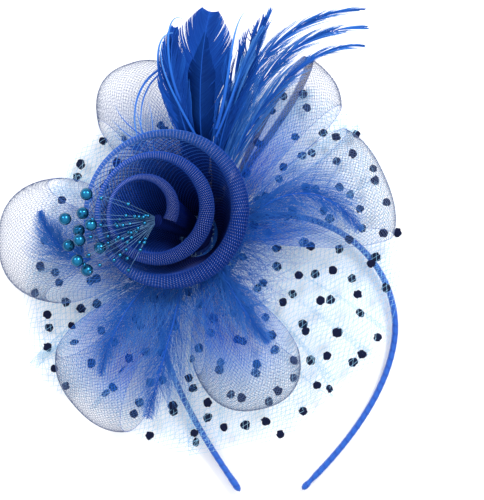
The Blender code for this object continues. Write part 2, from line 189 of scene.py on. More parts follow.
def arch(t):
    """The hoop's line: half an ellipse for t within a half, then arms that close as a power of the way."""
    side, along = np.sign(t), np.abs(t)
    q = np.clip((along - 0.5) * 2.0, 0.0, 1.0)
    closing = q ** (ARM_EASE + side * ARM_BIAS)
    arm_x = side * (BAND_HALF_WIDTH - (BAND_HALF_WIDTH - BAND_TIP_GAP / 2.0) * closing)
    arm_x = arm_x - BAND_LEAN * q * q
    x = np.where(along <= 0.5, BAND_HALF_WIDTH * np.sin(np.pi * t), arm_x)
    y = np.where(along <= 0.5, BAND_RISE * np.cos(np.pi * np.minimum(along, 0.5)), -BAND_ARM * q)
    return np.stack([x, y], axis=-1)


def unit(vectors):
    """Vectors brought to length one."""
    return vectors / np.maximum(np.linalg.norm(vectors, axis=-1, keepdims=True), 1e-12)


def middle_of(name):
    """The middle of a CAD node's own corner points, each counted once."""
    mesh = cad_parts[name].data
    corners = np.empty(len(mesh.vertices) * 3, dtype=np.float32)
    mesh.vertices.foreach_get("co", corners)
    return np.unique(np.round(corners.reshape(-1, 3).astype(float), 6), axis=0).mean(axis=0)


# The hoop's frame as it lies: up is from the backing to the pad, and its x from one tip to the other.
ends = arch(np.array([-1.0, -0.97, 0.97, 1.0]))
tip_out = unit(np.stack([ends[0] - ends[1], ends[3] - ends[2]]))
knobs = np.stack([ends[0], ends[3]]) + tip_out * (END_LENGTH / 2.0 + GAP)
span = knobs[1] - knobs[0]
up = unit(middle_of("felt_pad") - middle_of("felt_backing"))
across = middle_of("end_wrap_right") - middle_of("end_wrap_left")
across = unit(across - up * across.dot(up))
lean = math.atan2(span[1], span[0])
aside = np.cross(up, across)
LAY = np.stack([across * math.cos(lean) - aside * math.sin(lean),
                across * math.sin(lean) + aside * math.cos(lean), up], axis=1)
hoop_middle = (middle_of("end_wrap_right") + middle_of("end_wrap_left")) / 2.0
HOOP_AT = hoop_middle - LAY @ np.array([*(knobs.mean(axis=0)), 0.0]) * MM
FLOWER_XY = arch(np.array([FLOWER_TURN / math.pi]))[0]
FLOWER_AT = HOOP_AT + LAY @ np.array([*FLOWER_XY, 0.0]) * MM
camera.location = (*(FLOWER_AT[:2] + CAMERA_OFF_FLOWER), CAMERA_HEIGHT)


def laid(points, origin=FLOWER_AT):
    """Points in millimetres in the flower's frame, laid on the table in metres."""
    return np.asarray(points) @ LAY.T * MM + origin


def raised(tree, shader, height, strength, distance):
    """A fine relief on a shader, from a height."""
    relief = node(tree, "Bump", (), {"Strength": strength, "Distance": distance, "Height": height})
    tree.links.new(relief.outputs["Normal"], shader.inputs["Normal"])


def tone_of(tree):
    """The tone that a mesh carries at each of its points."""
    return node(tree, "Attribute", {"attribute_name": "tone"}).outputs["Fac"]


satin, tree, shader = finish_of("wound_satin_ribbon", 0.36, 0.3)
# Polyester satin: long floats give it a soft band of light, and each turn's edge is a little darker, a
# painted shade at the step over the next turn.
weave = node(tree, "UVMap", {"uv_map": "weave"})
threads = node(tree, "TexWave", {"bands_direction": "X", "wave_profile": "SIN"},
               {"Vector": weave.outputs["UV"], "Scale": 9.0, "Distortion": 0.6, "Detail": 1.0})
coloured(tree, shader, tone_of(tree), (0.0, "#0a3088"), (0.25, "#154aa8"), (1.0, "#1b58b8"))
raised(tree, shader, threads.outputs["Fac"], 0.25, 0.0001)
shader.inputs["Anisotropic"].default_value = 0.4

SECTIONS, SIDES = 520, 18
line = arch(np.linspace(-1.0, 1.0, SECTIONS))
lead = np.linspace(END_LENGTH, GAP, 16)[:, None]
line = np.vstack([ends[0] + tip_out[0] * lead, line, ends[3] + tip_out[1] * lead[::-1]])
run = np.concatenate([[0.0], np.cumsum(np.linalg.norm(np.diff(line, axis=0), axis=1))])
ahead = unit(np.gradient(line, axis=0))
aside = np.stack([-ahead[:, 1], ahead[:, 0]], axis=1)
# How each end is bound: distance from its tip, share of the hoop's section.
LEFT_END = ((0.0, 0.22), (0.8, 0.72), (2.5, 1.12), (6.0, 1.16), (10.0, 1.02), (14.0, 1.0))
RIGHT_END = ((0.0, 0.25), (0.7, 0.80), (2.4, 1.10), (4.2, 0.98), (5.6, 0.74), (7.6, 0.80), (11.0, 1.04),
             (14.0, 1.0))
swell = np.interp(run, *zip(*LEFT_END)) * np.interp(run[-1] - run, *zip(*RIGHT_END))
angle = 2.0 * np.pi * np.arange(SIDES) / SIDES
wind = (run[:, None] / WRAP_PITCH + angle[None, :] / (2.0 * np.pi)) % 1.0
step = WRAP_STEP * np.minimum(wind / WRAP_CLIMB, (1.0 - wind) / WRAP_FALL)
boxy = np.stack([np.cos(angle), np.sin(angle)])
boxy = np.sign(boxy) * np.abs(boxy) ** BOXINESS
wide = boxy[0] * BAND_THICKNESS / 2.0 * swell[:, None] + np.cos(angle) * step
deep = boxy[1] * BAND_DEPTH / 2.0 * swell[:, None] + np.sin(angle) * step
rings = np.concatenate([line[:, None, :] + aside[:, None, :] * wide[..., None], deep[..., None]], axis=2)
tips = np.array([[*(line[0] - ahead[0] * TIP_ROUNDING), 0.0],
                 [*(line[-1] + ahead[-1] * TIP_ROUNDING), 0.0]])
points = np.vstack([rings.reshape(-1, 3), tips])
faces = grid_faces(len(line), SIDES, around=True)[:, ::-1]
first, last = np.arange(SIDES), np.arange(SIDES) + (len(line) - 1) * SIDES
left_tip, right_tip = np.full(SIDES, len(points) - 2), np.full(SIDES, len(points) - 1)
faces = np.vstack([faces[:, [0, 1, 2]], faces[:, [0, 2, 3]],
                   np.stack([np.roll(first, -1), first, left_tip], axis=1),
                   np.stack([last, np.roll(last, -1), right_tip], axis=1)])
# Painted shade: the tone falls to nought at each turn's step, so the satin is drawn darker there.
shade = np.append(np.minimum(wind / 0.3, (1.0 - wind) / 0.1).clip(0.0, 1.0).ravel(), [0.5, 0.5])
uv = np.stack([run[:, None] / WRAP_PITCH + angle / (2.0 * np.pi), run[:, None] * 0.08 + angle], axis=-1)
uv = np.vstack([uv.reshape(-1, 2), np.zeros((2, 2))])


def worn(piece, slot, *nodes):
    """Carries a piece on the part's one body, with the nodes that it stands for, which it hides; the slot is
    not used.
    """
    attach(piece, "root")
    if nodes:
        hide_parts(*nodes)


band = shaped("headband_ribbon", laid(points, HOOP_AT), faces, satin, uv, shade)
worn(band, "satin", "headband", "end_wrap_left", "end_wrap_right")

# Base: a stiff felt disc on the front of the hoop and a smaller one behind it, glued over the ribbon.
# Felt is pressed wool with no weave, so it shows only a fine matted fuzz.


def mottle(tree, scale, detail):
    """Noise that lies still on a piece, with scale spots to the metre."""
    place = node(tree, "TexCoord")
    spots = {"Vector": place.outputs["Object"], "Scale": scale, "Detail": detail}
    return node(tree, "TexNoise", (), spots).outputs["Fac"]


felt, tree, shader = finish_of("pressed_felt", 0.95, 0.1)
fuzz = mottle(tree, 900.0, 6.0)
coloured(tree, shader, fuzz, (0.25, "#12265f"), (0.75, "#233f8e"))
raised(tree, shader, fuzz, 0.7, 0.0004)
for name in ("felt_pad", "felt_backing"):
    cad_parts[name].material_slots[0].material = felt

# Veil: two gathered rounds of dotted tulle, tacked to the base. They lie over the hoop and fall free past it.
# Tulle is a fine six-sided net of pale blue nylon; soft folds run out from the middle where it is gathered.
VEIL_RADIUS, VEIL_EYE, VEIL_DROP, VEIL_RUFFLE, VEIL_RUFFLES = 110.0, 5.0, 17.0, 3.4, 11
PAD_RADIUS, VEIL_SEAT, VEIL_STEP = 22.0, 6.0, 2.1
TULLE_GAP, TULLE_THREAD, TULLE_STEP = 2.3, 0.17, 3.0
# Direction in degrees, reach as a share of VEIL_RADIUS.
VEIL_OUTLINE = (
    (0, 0.98), (20, 0.97), (38, 0.98), (60, 0.93), (80, 0.80), (105, 0.68), (135, 0.74), (157, 0.78),
    (180, 0.84), (200, 0.92), (220, 1.05), (236, 0.98), (253, 1.0), (267, 1.04), (280, 1.01),
    (292, 1.03), (310, 0.99), (328, 1.04), (345, 1.0),
)
# Direction and width in degrees, how far the net doubles back, lift in millimetres, bend in degrees.
UNDER_FOLDS = (
    (30, 2.2, 1.9, 2.0, 6), (62, 3.0, 2.1, 3.0, -8), (96, 3.4, 2.0, 3.0, -10), (150, 3.6, 2.2, 4.0, 12),
    (205, 3.0, 2.1, 3.0, 10), (243, 2.4, 1.8, 2.0, -6), (261, 2.0, 2.3, 2.5, 6), (300, 2.2, 1.9, 2.0, 8),
    (322, 2.2, 2.2, 2.5, -9), (350, 2.4, 1.8, 2.5, -14),
)
UPPER_FOLDS = (
    (12, 2.2, 1.8, 2.0, 8), (44, 2.8, 2.0, 3.0, -6), (80, 3.0, 2.2, 3.0, 10), (120, 3.4, 1.9, 3.0, 8),
    (140, 3.0, 2.1, 3.0, 16), (186, 2.4, 1.8, 2.0, 5), (224, 2.4, 2.0, 3.0, -8), (285, 2.0, 1.8, 2.0, -9),
    (318, 2.0, 2.2, 2.5, -4), (334, 2.2, 2.3, 2.5, -7),
)
GATHERS, GATHER_PULL, GATHER_HEIGHT = 44, 0.8, 0.5
UNEVEN, TABLE_CLEARANCE = 0.5, 0.0009


def eased(x):
    """Nought to one with flat ends."""
    x = np.clip(x, 0.0, 1.0)
    return x * x * (3.0 - 2.0 * x)


def round_the_circle(rows, turn):
    """A smooth value at each angle from rows of (degrees, value), eased from row to row."""
    rows = np.array(rows, dtype=float)
    at, value = np.append(rows[:, 0], rows[0, 0] + 360.0), np.append(rows[:, 1], rows[0, 1])
    degrees = np.degrees(turn) % 360.0
    k = np.clip(np.searchsorted(at, degrees, side="right") - 1, 0, len(rows) - 1)
    return value[k] + (value[k + 1] - value[k]) * eased((degrees - at[k]) / (at[k + 1] - at[k]))


hoop = arch(np.linspace(-1.0, 1.0, 241)) - FLOWER_XY
hoop_far, hoop_way = np.hypot(*hoop.T), np.degrees(np.arctan2(hoop[:, 1], hoop[:, 0]))
ways = np.arange(360.0)
near = np.abs((hoop_way[None, :] - ways[:, None] + 180.0) % 360.0 - 180.0) < 14.0
crossing = np.max(np.where(near & (hoop_far > 10.0), hoop_far, 0.0), axis=1) + 6.0
crossing = np.maximum(crossing, PAD_RADIUS + 3.0)
blur = np.exp(-np.linspace(-2.0, 2.0, 17) ** 2)
crossing = np.convolve(np.tile(crossing, 3), blur / blur.sum(), mode="same")[360:720]


def net_point(x, y, lift, folds):
    """A flat point of the round net as it hangs. Height: level over the hoop, then falling as a power of
    the way past it, with a ruffle that grows outwards. Each fold turns the net back and stacks it."""
    r, turn = np.hypot(x, y), np.arctan2(y, x)
    full = VEIL_RADIUS * round_the_circle(VEIL_OUTLINE, turn)
    over = np.interp(np.degrees(turn) % 360.0, np.arange(361.0), np.append(crossing, crossing[0]))
    fall = np.maximum(0.0, (r - over) / (full - PAD_RADIUS))
    wave = VEIL_RUFFLE * eased((r - PAD_RADIUS) / VEIL_RADIUS * 1.3)
    z = VEIL_SEAT + lift + wave * (1.0 + np.sin(VEIL_RUFFLES * turn)) / 2.0 - VEIL_DROP * fall**1.3
    z = z + UNEVEN * np.sin(x * 0.11 + 1.0) * np.sin(y * 0.13 + lift) * eased(r / 60.0)
    placed = turn.copy()
    inner = 1.0 - eased((r - 30.0) / 48.0)
    placed = placed - GATHER_PULL / GATHERS * np.sin(GATHERS * turn + lift) * inner * eased(r / 12.0)
    z = z + GATHER_HEIGHT * np.cos(GATHERS * turn + lift) * inner * eased(r / 24.0)
    for at, width, back, height, bend in folds:
        d = ((np.degrees(turn) - at - bend * r / 100.0 + 180.0) % 360.0 - 180.0) / width
        bell = np.exp(-d * d / 2.0)
        placed = placed - math.radians(width * back) * d * bell * eased((r - 12.0) / 45.0)
        z = z + height * d * bell * eased(r / 70.0)
    made = laid(np.stack([r * np.cos(placed), r * np.sin(placed), z], axis=-1))
    # Near the table the fall eases out, so that the net lies on it and not in it.
    floor, height = TABLE_CLEARANCE + lift * 0.0002, made[..., 2]
    made[..., 2] = np.where(height < floor * 2, floor + floor * np.exp(height / floor - 2.0), height)
    return made


def strands(points, keep, wide, thick, sides=3, face_up=(0.0, 0.0, 1.0)):
    """Round or flat strands along rows of points (row, step, xyz). keep says which steps are there.
    Each ring is the point plus wide times the cosine sideways and thick times the sine upwards."""
    ahead = unit(np.gradient(points, axis=1))
    aside = unit(np.cross(ahead, np.broadcast_to(np.asarray(face_up, dtype=float), ahead.shape)))
    over = np.cross(aside, ahead)
    angle = 2.0 * np.pi * (np.arange(sides) + 0.25) / sides
    wide = np.broadcast_to(wide, points.shape[:2])[..., None, None]
    thick = np.broadcast_to(thick, points.shape[:2])[..., None, None]
    ring = points[:, :, None, :] + aside[:, :, None, :] * np.cos(angle)[:, None] * wide
    ring = ring + over[:, :, None, :] * np.sin(angle)[:, None] * thick
    index = np.arange(points.shape[0] * points.shape[1] * sides).reshape(*points.shape[:2], sides)
    turned = np.roll(index, -1, axis=2)
    quads = np.stack([index[:, :-1], index[:, 1:], turned[:, 1:], turned[:, :-1]], axis=-1)
    faces = quads[keep].reshape(-1, 4)
    used, faces = np.unique(faces, return_inverse=True)
    return ring.reshape(-1, 3)[used], faces.reshape(-1, 4), used // sides


def joined(parts):
    """Several (points, faces, tone) arrays as one."""
    counts = np.cumsum([0] + [len(p[0]) for p in parts])
    faces = np.vstack([p[1] + c for p, c in zip(parts, counts)])
    return np.vstack([p[0] for p in parts]), faces, np.concatenate([p[2] for p in parts])


tulle, tree, shader = finish_of("nylon_tulle_thread", 0.4, 0.3)
# Fine dyed nylon: each thread is nearly clear, so single net looks pale and only folds show their blue.
coloured(tree, shader, mottle(tree, 60.0, 2.0), (0.3, "#7dbce8"), (0.7, "#b4dcf2"))
haze, tree, shader = finish_of("nylon_tulle_haze", 0.7, 0.2)
# The threads too fine to draw, as the faintest film between those drawn.
shader.inputs["Base Color"].default_value = linear("#8fcbf2")
shader.inputs["Alpha"].default_value = 0.008
flock, tree, shader = finish_of("flocked_dot", 0.95, 0.12)
# Short navy fibres glued upright in round spots: almost black, with a soft edge of light.
pile = mottle(tree, 2200.0, 3.0)
coloured(tree, shader, pile, (0.3, "#080c1f"), (0.7, "#151d40"))
raised(tree, shader, pile, 0.8, 0.0003)

SPOKES, RINGS = 540, 44
TULLE_ANGLE, OUTLINE_MOST, GATHERED_SHARE = 62.0, 1.08, 1.15
DOT_GRID, DOT_ROW, DOT_SIZE, DOT_SIDES = 19.5, 14.8, 2.45, 14
DOT_SCATTER, DOT_RAGGED, DOT_OFF_NET = 0.7, 0.09, 0.1
# Share of the dot's radius, height in millimetres.
DOT_PROFILE = ((0.0, 0.45), (0.55, 0.42), (0.92, 0.30), (1.0, 0.08), (0.92, -0.12), (0.0, -0.12))


def turned_by(degrees, x, y):
    """Flat points turned about the middle."""
    way = math.radians(degrees)
    return x * math.cos(way) - y * math.sin(way), x * math.sin(way) + y * math.cos(way)


def veil_layer(name, node_name, lift, reach, folds, bias, dot_at, seed):
    """One round of net: a thin sheet on rings and spokes, threads on two slants, and its flocked dots."""
    turn = 2.0 * np.pi * np.arange(SPOKES) / SPOKES
    rim = VEIL_RADIUS * reach * round_the_circle(VEIL_OUTLINE, turn)
    r = VEIL_EYE + (rim - VEIL_EYE) * (np.linspace(0.0, 1.0, RINGS)[:, None])
    sheet = net_point(r * np.cos(turn), r * np.sin(turn), lift, folds)
    made = shaped(name, sheet.reshape(-1, 3), grid_faces(RINGS, SPOKES, around=True), haze)
    parts = []
    widest = VEIL_RADIUS * OUTLINE_MOST
    for slant in (bias, bias + TULLE_ANGLE):
        offset = np.arange(-widest, widest, TULLE_GAP)[:, None]
        x, y = turned_by(slant, np.arange(-widest, widest, TULLE_STEP)[None, :], offset)
        far = np.hypot(x, y)
        rim = VEIL_RADIUS * reach * round_the_circle(VEIL_OUTLINE, np.arctan2(y, x))
        inside = np.minimum(rim - far, far - VEIL_EYE) > 0.0
        keep = inside[:, :-1] & inside[:, 1:]
        stout = TULLE_THREAD * MM / 2.0
        points, faces, used = strands(net_point(x, y, lift, folds), keep, stout, stout)
        parts.append((points, faces, np.zeros(len(points))))
    points, faces, _ = joined(parts)
    threads = shaped(name + "_threads", points, faces, tulle)
    chance = np.random.default_rng(seed)
    rows, columns = np.meshgrid(np.arange(-8, 9), np.arange(-8, 9), indexing="ij")
    gx = (columns + 0.5 * (rows % 2)) * DOT_GRID + chance.normal(0.0, DOT_SCATTER, rows.shape)
    gy = rows * DOT_ROW + chance.normal(0.0, DOT_SCATTER, rows.shape)
    x, y = turned_by(dot_at[2], gx, gy)
    x, y = (x + dot_at[0]).ravel(), (y + dot_at[1]).ravel()
    room = VEIL_RADIUS * reach * round_the_circle(VEIL_OUTLINE, np.arctan2(y, x)) - np.hypot(x, y)
    good = (room > 1.5) & (np.hypot(x, y) > PAD_RADIUS)
    x, y = x[good], y[good]
    a = 2.0 * np.pi * np.arange(DOT_SIDES) / DOT_SIDES
    size = DOT_SIZE * (1.0 + DOT_RAGGED * chance.normal(0.0, 1.0, (len(x), DOT_SIDES)))
    size = np.clip(size, DOT_SIZE * 0.8, DOT_SIZE * 1.2) * chance.uniform(0.9, 1.08, (len(x), 1))
    middle = net_point(x, y, lift, folds)[:, None]
    outward = unit(net_point(x * 1.02, y * 1.02, lift, folds)[:, None] - middle)
    aside = np.cross(net_point(x - y * 0.03, y + x * 0.03, lift, folds)[:, None] - middle, outward)
    aside = unit(np.where(aside[..., 2:] < 0.0, -aside, aside))
    beside = np.cross(aside, outward)
    layers = []
    for share, thick in DOT_PROFILE:
        spoke = outward * np.cos(a)[:, None] + beside * np.sin(a)[:, None]
        ring = middle + spoke * (size * share * MM)[..., None]
        layers.append(ring + aside * (thick + DOT_OFF_NET) * MM)
    dots = np.stack(layers, axis=1)
    cell = grid_faces(len(layers), DOT_SIDES, around=True)[:, ::-1]
    faces = (np.arange(len(x))[:, None, None] * len(layers) * DOT_SIDES + cell[None]).reshape(-1, 4)
    spots = shaped(name + "_dots", dots.reshape(-1, 3), faces, flock)
    for piece in (made, threads, spots):
        worn(piece, "net", node_name)


veil_layer("veil_under_net", "veil_under", 0.0, 1.0, UNDER_FOLDS, 14.0, (4.0, -3.0, -12.0), 3)
veil_layer("veil_upper_net", "veil_upper", VEIL_STEP, 0.95, UPPER_FOLDS, 31.0, (9.0, 6.0, 9.0), 8)

# Petals: six loops of crinoline, a ribbon braided on the slant from clear nylon monofilament dyed blue.
# Each is laid out and back over itself and drawn up at the root, so its threads crowd into streaks there.
PETAL_REACH, PETAL_ROOT, PETAL_RISE, PETAL_LOFT, PETAL_SEAT = 105.0, 8.0, 6.0, 8.0, 9.4
CRIN_GAP, CRIN_STEP, CRIN_SLANT = 1.75, 4.2, 40.0
CRIN_THIN, CRIN_THICK = 0.125, 0.20
EDGE_STEPS, EDGE_THREAD = 161, 0.22
# Name, direction, reach, half width, height, rounding, lean, twist of the upper layer in degrees, streaks,
# the edge that is turned back as a signed share of the half width, seed, how far out the blue reaches.
PETALS = (
    ("petal_1", 111.5, 0.97, 0.31, 0.68, 0.24, 0.02, 5.0, 3.0, -1.0, 1, 0.12),
    ("petal_2", 178.5, 1.01, 0.37, 0.80, 0.24, 0.0, -8.5, 3.5, 1.0, 2, 0.16),
    ("petal_3", 233.0, 1.03, 0.275, 0.90, 0.10, 0.05, 8.0, 3.0, 1.0, 3, 0.50),
    ("petal_4", 290.0, 0.88, 0.33, 1.00, 0.26, 0.05, -6.0, 3.0, -1.0, 4, 0.30),
    ("petal_5", 20.5, 0.98, 0.31, 1.00, 0.08, -0.02, 5.0, 3.5, 1.0, 5, 0.10),
    ("petal_6", 54.2, 1.07, 0.18, 0.80, 0.06, 0.03, -4.0, 2.5, 0.74, 6, 0.16),
)


def way_out(u):
    """How far out a loop is: a power of the sine of the way along it."""
    return np.sin(np.pi * (0.02 + 0.96 * np.clip(u, 0.0, 1.0))) ** 0.9


def petal_point(row, u, side):
    """A point of a loop: out along the lower layer, round the fold and back along the upper one as a power
    of a sine; its width grows with the way out, sines across it crowd the threads into streaks near the
    root, and one edge is turned back over itself like a hem."""
    _, direction, reach, width, height, rounding, lean, twist, streaks, hem, seed, _ = row
    long, half = PETAL_REACH * reach, PETAL_REACH * width
    out = way_out(u)
    hand, line = math.copysign(1.0, hem), abs(hem)
    along = side * hand
    over = np.clip((along - line) / 0.06, 0.0, 1.0)
    side = np.where(along > line, 2.0 * line - along, along) * hand
    tip = long * (1.0 - rounding * np.abs(side) ** 2.5 + lean * side)
    r = PETAL_ROOT + (tip - PETAL_ROOT) * out
    drawn = 1.0 - eased((out - 0.2) / 0.78)
    crowd = side - 0.92 * drawn * np.sin(streaks * 2.0 * np.pi * side + seed) / (streaks * 2.0 * np.pi)
    spread = half * (r / long) ** 0.92
    swell = 0.2 + 0.8 * out**1.3
    z = PETAL_SEAT + GAP + PETAL_RISE * out**1.2 * height
    z = z + PETAL_LOFT * height * swell * (1.0 - np.cos(np.pi * u))
    z = z + 0.8 * (1.0 + np.sin(side * 7.0 + direction)) * out * (1.0 - 0.6 * out)
    z = z + 1.1 * drawn * out * np.cos(streaks * 2.0 * np.pi * side + seed)
    z = z + 0.9 * over * np.sin(np.pi * u)
    turn = math.radians(direction) + math.radians(twist) * np.cos(np.pi * u) * eased(out * 1.2)
    x = r * np.cos(turn) - spread * crowd * np.sin(turn)
    return laid(np.stack([x, r * np.sin(turn) + spread * crowd * np.cos(turn), z], axis=-1))


def lifted(surface, u, v, lift, nudge=0.004):
    """Points a little off a surface of two parameters, along the cross product of its two slopes."""
    first = surface(u + nudge, v) - surface(u - nudge, v)
    second = surface(u, v + nudge) - surface(u, v - nudge)
    return surface(u, v) + unit(np.cross(first, second)) * lift * MM


def slanted_lines(length, width, slant, gap, step):
    """Straight lines on a slant over a flat ribbon, from edge to edge, as shares along and across it."""
    way = math.radians(slant)
    dx, dy = math.cos(way), math.sin(way)
    reach = abs(length * dy) + abs(width * dx)
    low = -reach / 2.0 + gap / 2.0
    offset = np.arange(low, reach / 2.0, gap)[:, None] + (length / 2.0 * -dy)
    a, b = (0.0 + offset * dy) / dx, (length + offset * dy) / dx
    c, d = (-width / 2.0 - offset * dx) / dy, (width / 2.0 - offset * dx) / dy
    start = np.maximum(np.minimum(a, b), np.minimum(c, d))
    stop = np.minimum(np.maximum(a, b), np.maximum(c, d))
    steps = int(np.ceil(np.max(stop - start) / step)) + 1
    run = np.minimum(start + step * np.arange(steps)[None, :], stop)
    keep = np.diff(run, axis=1) > 1e-6
    along, across = run * dx - offset * dy, offset * dx + run * dy
    return np.clip(along / length, 0.0, 1.0), np.clip(across / width * 2.0, -1.0, 1.0), keep


crin, tree, shader = finish_of("crinoline_monofilament", 0.3, 0.15)
# Round nylon filament: each thread has its own small light, pale where it is thin and deep where it crowds.
coloured(tree, shader, tone_of(tree),
         (0.0, "#1a2f6c"), (0.1, "#0f4cc0"), (0.5, "#2466c6"), (1.0, "#56668c"))
crin_haze, tree, shader = finish_of("crinoline_haze", 0.5, 0.1)
# The filaments too fine to draw, as a film that thickens where they crowd and where the edge is turned.
tone = tone_of(tree)
coloured(tree, shader, tone, (0.0, "#0e2a6c"), (0.1, "#0b4cc0"), (0.6, "#3680da"), (1.0, "#a8c8e8"))
veiled = node(tree, "MapRange", (), {0: tone, 1: 0.0, 2: 0.9, 3: 0.32, 4: 0.004})
turned = node(tree, "Math", {"operation": "LESS_THAN"}, {0: tone, 1: 0.06})
turned = node(tree, "Math", {"operation": "MULTIPLY_ADD"},
              {0: turned.outputs[0], 1: 0.35, 2: veiled.outputs[0]})
tree.links.new(turned.outputs[0], shader.inputs["Alpha"])
PETAL_ROWS, PETAL_COLUMNS = 97, 49


def petal_tone(row, u, side):
    """Nought at the gathered root and in the turned edge, one at the outer fold."""
    hem, blue = row[9], row[11]
    turned = np.clip((side * math.copysign(1.0, hem) - abs(hem)) / 0.05, 0.0, 1.0) * np.ones_like(u)
    out = way_out(u)
    return np.maximum(eased((out - blue) / (1.02 - blue)) ** (1.0 + blue), 0.12) * (1.0 - turned)


for row in PETALS:
    name, width = row[0], row[3]
    u, side = np.meshgrid(np.linspace(0.0, 1.0, PETAL_ROWS), np.linspace(-1.0, 1.0, PETAL_COLUMNS),
                          indexing="ij")
    sheet = petal_point(row, u, side)
    cells = grid_faces(PETAL_ROWS, PETAL_COLUMNS)
    film = shaped(name + "_crinoline", sheet.reshape(-1, 3), cells, crin_haze,
                  np.stack([u, side], axis=-1).reshape(-1, 2), petal_tone(row, u, side).ravel())
    run = float(np.linalg.norm(np.diff(sheet[:, PETAL_COLUMNS // 2], axis=0), axis=1).sum()) / MM
    flat_width = 2.0 * PETAL_REACH * width
    parts = []
    for slant, lift in ((CRIN_SLANT, 0.12), (-CRIN_SLANT, -0.12)):
        u, side, keep = slanted_lines(run, flat_width, slant, CRIN_GAP, CRIN_STEP)
        at = lifted(lambda a, b: petal_point(row, a, b), u, side, lift)
        shade = petal_tone(row, u, side)
        stout = (CRIN_THICK + (CRIN_THIN - CRIN_THICK) * shade) * MM / 2.0
        points, faces, used = strands(at, keep, stout, stout)
        parts.append((points, faces, shade.ravel()[used]))
    u, side = np.meshgrid(np.linspace(0.0, 1.0, EDGE_STEPS), (-1.0, 1.0))
    stout = EDGE_THREAD * MM / 2.0
    keep = np.ones((2, EDGE_STEPS - 1), bool)
    points, faces, used = strands(petal_point(row, u, side), keep, stout, stout)
    parts.append((points, faces, np.full(len(points), 0.6)))
    points, faces, shade = joined(parts)
    braid = shaped(name + "_threads", points, faces, crin, None, shade)
    for piece in (film, braid):
        worn(piece, "crinoline", name)

# Rosette: one wide crinoline ribbon folded double lengthwise and wound from the outer turn in to the heart.
# The fold makes a soft rolled rim. Down in the foot and the heart the blue goes nearly to navy, partly from
# turns lying behind each other and partly as painted shade, and the rim's crest has a painted highlight.
ROSETTE_RADIUS, ROSETTE_EYE, ROSETTE_RISE, ROSETTE_LIFT = 45.0, 14.5, 20.0, 17.0
ROSETTE_TURNS, ROSETTE_LIP, CREASE = 2.6, 5.2, 0.9
ROSETTE_SEAT = PETAL_SEAT + 6.0
ROSETTE_START, OPEN_SIDE, ROLL = math.radians(200.0), math.radians(-25.0), math.radians(205.0)
# Middles and the foot's radii as shares of ROSETTE_RADIUS.
OUTER_CENTRE, HEART_CENTRE, BASE_CENTRE = (-0.33, 0.36), (-0.66, 0.38), (-0.089, 0.111)
BASE_RADIUS, BASE_EYE, LIP_STARTS = 0.333, 0.122, 0.55
ROSETTE_LENGTH, ROSETTE_WIDTH, DRAWN_IN = 500.0, 62.0, 0.62
BRAID_GAP, BRAID_THREAD, BRAID_STEP, BRAID_SLANT = 1.6, 0.24, 3.6, 38.0


def rosette_point(u, v):
    """u runs along the spiral from its outer end and v climbs from the foot: a power curve up the wall, then
    an arc over the rolled rim; the radius shrinks evenly with u and the rim rises on the open side."""
    turn = ROSETTE_START - 2.0 * np.pi * ROSETTE_TURNS * u
    radius = ROSETTE_RADIUS + (ROSETTE_EYE - ROSETTE_RADIUS) * u
    opening = 0.5 + 0.5 * np.cos(turn - OPEN_SIDE)
    top = ROSETTE_SEAT + ROSETTE_LIFT + ROSETTE_RISE * u * (0.45 + 0.55 * opening)
    lip = ROSETTE_LIP * (0.10 + 0.80 * opening) * (1.0 - 0.35 * u)
    foot = ROSETTE_RADIUS * (BASE_RADIUS + (BASE_EYE - BASE_RADIUS) * u)
    climb = np.clip(v / LIP_STARTS, 0.0, 1.0)
    roll = ROLL * np.clip(v - LIP_STARTS, 0.0, 1.0) / (1.0 - LIP_STARTS)
    r = foot + (radius - lip - foot) * climb**0.75 + lip * (1.0 - np.cos(roll))
    crease = np.sin(turn * 7.0 + 2.0 * v) + 0.6 * np.sin(turn * 13.0 + 5.0 * u)
    r = r + CREASE * crease * climb * (1.0 - climb)
    middle = [ROSETTE_RADIUS * (b * (1.0 - climb) + (o + (h - o) * u) * climb)
              for b, o, h in zip(BASE_CENTRE, OUTER_CENTRE, HEART_CENTRE)]
    z = ROSETTE_SEAT + (top - lip - ROSETTE_SEAT) * climb**1.15 + lip * np.sin(roll)
    return laid(np.stack([middle[0] + r * np.cos(turn), middle[1] + r * np.sin(turn), z], axis=-1))


def rim_of(v):
    """One at the top of the rolled rim, falling as a sine to nought at its two sides."""
    return np.sin(ROLL * np.clip(v - LIP_STARTS, 0.0, 1.0) / (1.0 - LIP_STARTS)).clip(0.0, 1.0)


def rosette_tone(u, v):
    """Painted shade and highlight: nought down in the foot, the heart and the open side, one on the outer
    turn's rim at the far side, and a painted highlight on the rim's crest on the open side.
    """
    opening = 0.5 + 0.5 * np.cos(ROSETTE_START - 2.0 * np.pi * ROSETTE_TURNS * u - OPEN_SIDE)
    # Painted shade down the wall to the foot, towards the heart, on the open side and on the far side's rim;
    # lit paints a highlight on the rim's crest with shade to its sides.
    wall = np.clip(v / LIP_STARTS, 0.0, 1.0) ** (0.7 + 1.2 * opening)
    far_rim_darker = 1.0 - 0.45 * (1.0 - opening) * np.clip((v - LIP_STARTS) / 0.05, 0.0, 1.0)
    lit = 0.85 + (0.45 * rim_of(v) - 0.30) * opening
    return wall * far_rim_darker * lit * (1.0 - 0.62 * u) * (1.0 - 0.66 * opening)


rose_thread, tree, shader = finish_of("rosette_monofilament", 0.25, 0.12)
